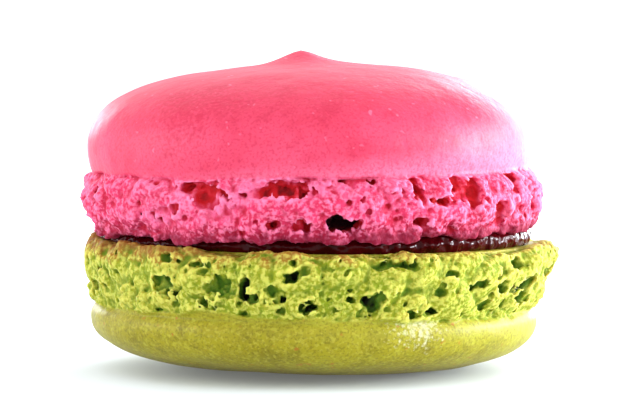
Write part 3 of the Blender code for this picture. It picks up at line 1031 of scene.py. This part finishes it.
def jam_layer():
    """A slab whose faces sink into the two shells, with a round and uneven edge."""
    turns = 2 * math.pi * np.arange(AROUND) / AROUND
    outward = np.stack([np.sin(turns), -np.cos(turns), np.zeros(AROUND)], 1)
    share = np.linspace(0.0, 1.0, JAM_ROWS)
    bow = np.sin(np.pi * share) ** JAM_BOW_FULLNESS
    points = np.empty((JAM_ROWS, AROUND, 3))
    for column in range(AROUND):
        way = Vector(outward[column])
        wander = JAM_WANDER * noise.noise(way * JAM_WANDERS)
        for row in range(JAM_ROWS):
            spot = way * JAM_EDGE + Vector((0.0, 0.0, share[row]))
            lump = sum(lump_height * noise.noise(spot / lump_size) for lump_height, lump_size in JAM_LUMPS)
            radius = JAM_RADIUS + wander + JAM_SIDEWAYS * way.x**4 + (JAM_BOW + lump) * bow[row]
            place = way * radius + Vector((JAM_SHIFT, 0.0, 0.0))
            bottom = (GREEN_PLACE @ place).z - JAM_SUNK
            top = (PINK_PLACE @ place).z + JAM_SUNK
            points[row, column] = (place.x, place.y, bottom + (top - bottom) * share[row])
    number = np.arange(JAM_ROWS * AROUND).reshape(JAM_ROWS, AROUND)
    faces = []
    for row in range(JAM_ROWS - 1):
        first, second = number[row], number[row + 1]
        faces += np.stack([first, np.roll(first, -1), np.roll(second, -1), second], 1).tolist()
    faces.append(number[0][::-1].tolist())
    faces.append(number[-1].tolist())
    return make_piece("jam_layer", points.reshape(-1, 3) * MM, faces, {})


# Clouds of fruit pulp in the jam, and the pips and pulp that lift its surface, in millimetres
PULP_SIZE = 2.5
PIP_SIZE = 1.1
PIP_HEIGHT = 0.7


def jam(name):
    """Boiled jam: fruit and sugar set to a clear, very dark red gel. It is wet, so it mirrors the light."""
    material = bpy.data.materials.new(name)
    material.use_nodes = True
    tree = material.node_tree
    surface = tree.nodes["Principled BSDF"]
    places = add_node(tree, "ShaderNodeTexCoord").outputs["Object"]
    pulp = {"Vector": places, "Scale": 1 / (PULP_SIZE * MM), "Detail": 3.0}
    cloud = add_node(tree, "ShaderNodeTexNoise", pulp).outputs["Fac"]
    reds = {"Factor": cloud, 6: linear("#100001"), 7: linear("#54040A")}
    colour = add_node(tree, "ShaderNodeMix", reds, data_type="RGBA").outputs[2]
    tree.links.new(colour, surface.inputs["Base Color"])
    # The IOR of sugar syrup. It mirrors less than clear syrup would, because of the pulp in its surface.
    surface.inputs["Roughness"].default_value = 0.08
    surface.inputs["IOR"].default_value = 1.42
    surface.inputs["Specular IOR Level"].default_value = 0.13
    pips = {"Vector": places, "Scale": 1 / (PIP_SIZE * MM), "Detail": 1.5}
    lumpy = add_node(tree, "ShaderNodeTexNoise", pips).outputs["Fac"]
    lifted = {"Height": lumpy, "Strength": 1.0, "Distance": PIP_HEIGHT * MM}
    normal = add_node(tree, "ShaderNodeBump", lifted).outputs["Normal"]
    tree.links.new(normal, surface.inputs["Normal"])
    return material


jam_piece = jam_layer()
jam_piece.data.materials.append(jam("raspberry_jam"))
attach(jam_piece, "root")
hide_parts("jam_filling")

# The floor: a plain table top of smooth white board, lit to nearly pure white. It also glows a little, though
# it is no lamp: the glow is painted light that fills the shadow under the macaron and keeps it soft.
# Half its width in metres, and how far it lies below the macaron
FLOOR_HALF = 6.0
FLOOR_BELOW = 0.02 * MM
BOARD_COLOUR = "#DAE1E7"
PAINTED_FILL_GLOW = "#F6FAFF"
PAINTED_FILL_STRENGTH = 0.12
floor_mesh = bpy.data.meshes.new("floor")
floor_corners = ((-1, -1), (1, -1), (1, 1), (-1, 1))
floor_points = [(x * FLOOR_HALF, y * FLOOR_HALF, -FLOOR_BELOW) for x, y in floor_corners]
floor_mesh.from_pydata(floor_points, [], [(0, 1, 2, 3)])
floor = bpy.data.objects.new("floor", floor_mesh)
bpy.context.scene.collection.objects.link(floor)
board = bpy.data.materials.new("white_board")
board.use_nodes = True
board_surface = board.node_tree.nodes["Principled BSDF"]
board_surface.inputs["Base Color"].default_value = linear(BOARD_COLOUR)
board_surface.inputs["Roughness"].default_value = 0.9
# The glow is painted light that fills the shadow
board_surface.inputs["Emission Color"].default_value = linear(PAINTED_FILL_GLOW)
board_surface.inputs["Emission Strength"].default_value = PAINTED_FILL_STRENGTH
floor_mesh.materials.append(board)

# The light: a white room with soft lamps low round the macaron, the strongest behind it on the right, where
# they give its edge a bright rim, and weaker ones on the left.
ROOM_STRENGTH = 1.4
world = bpy.data.worlds.new("white_room")
bpy.context.scene.world = world
world.use_nodes = True
world.node_tree.nodes["Background"].inputs["Color"].default_value = (1.0, 1.0, 1.0, 1.0)
world.node_tree.nodes["Background"].inputs["Strength"].default_value = ROOM_STRENGTH

# Lamps stand 42 cm from the macaron's middle, and their light is a little bluer than white
LAMP_DISTANCE = 0.42
MIDDLE = Vector((0.0, 0.0, 14.0)) * MM
DAYLIGHT = (0.93, 1.0, 1.08)


def soft_lamp(name, turn, rise, width, radiance):
    """A square lamp that faces the macaron, turned from the front towards +X, and raised, in degrees.

    Its width is in metres, and its radiance in watts for each square metre and steradian.
    """
    turn, rise = math.radians(turn), math.radians(rise)
    way = Vector((math.sin(turn) * math.cos(rise), -math.cos(turn) * math.cos(rise), math.sin(rise)))
    lamp = bpy.data.lights.new(name, "AREA")
    lamp.size = width
    lamp.color = DAYLIGHT
    lamp.energy = radiance * math.pi * width**2
    holder = bpy.data.objects.new(name, lamp)
    holder.location = MIDDLE + LAMP_DISTANCE * way
    holder.rotation_euler = way.to_track_quat("Z", "Y").to_euler()
    bpy.context.scene.collection.objects.link(holder)


soft_lamp("right_window", 110, 8, 0.26, 11.0)
soft_lamp("bright_lamp", 98, 5, 0.06, 105.0)
soft_lamp("front_window", 72, 3, 0.26, 6.0)
soft_lamp("right_card", 156, 12, 0.2, 13.0)
soft_lamp("left_window", -84, 6, 0.26, 4.2)
soft_lamp("left_card", -154, 11, 0.1, 11.0)
bpy.context.scene.view_settings.view_transform = "Standard"

# The camera: 25 cm in front, level with the top of the macaron, looking a little down.
EYE = Vector((-0.267, -250.0, 28.0)) * MM
TILT_DOWN = math.radians(3.218)
LENS = 160.57
camera_lens = bpy.data.cameras.new("camera")
camera_lens.lens = LENS
camera_lens.sensor_width = 36.0
camera_lens.clip_start = 0.01
camera = bpy.data.objects.new("camera", camera_lens)
camera.location = EYE
camera.rotation_euler = (math.pi / 2 - TILT_DOWN, 0.0, 0.0)
bpy.context.scene.collection.objects.link(camera)
bpy.context.scene.camera = camera
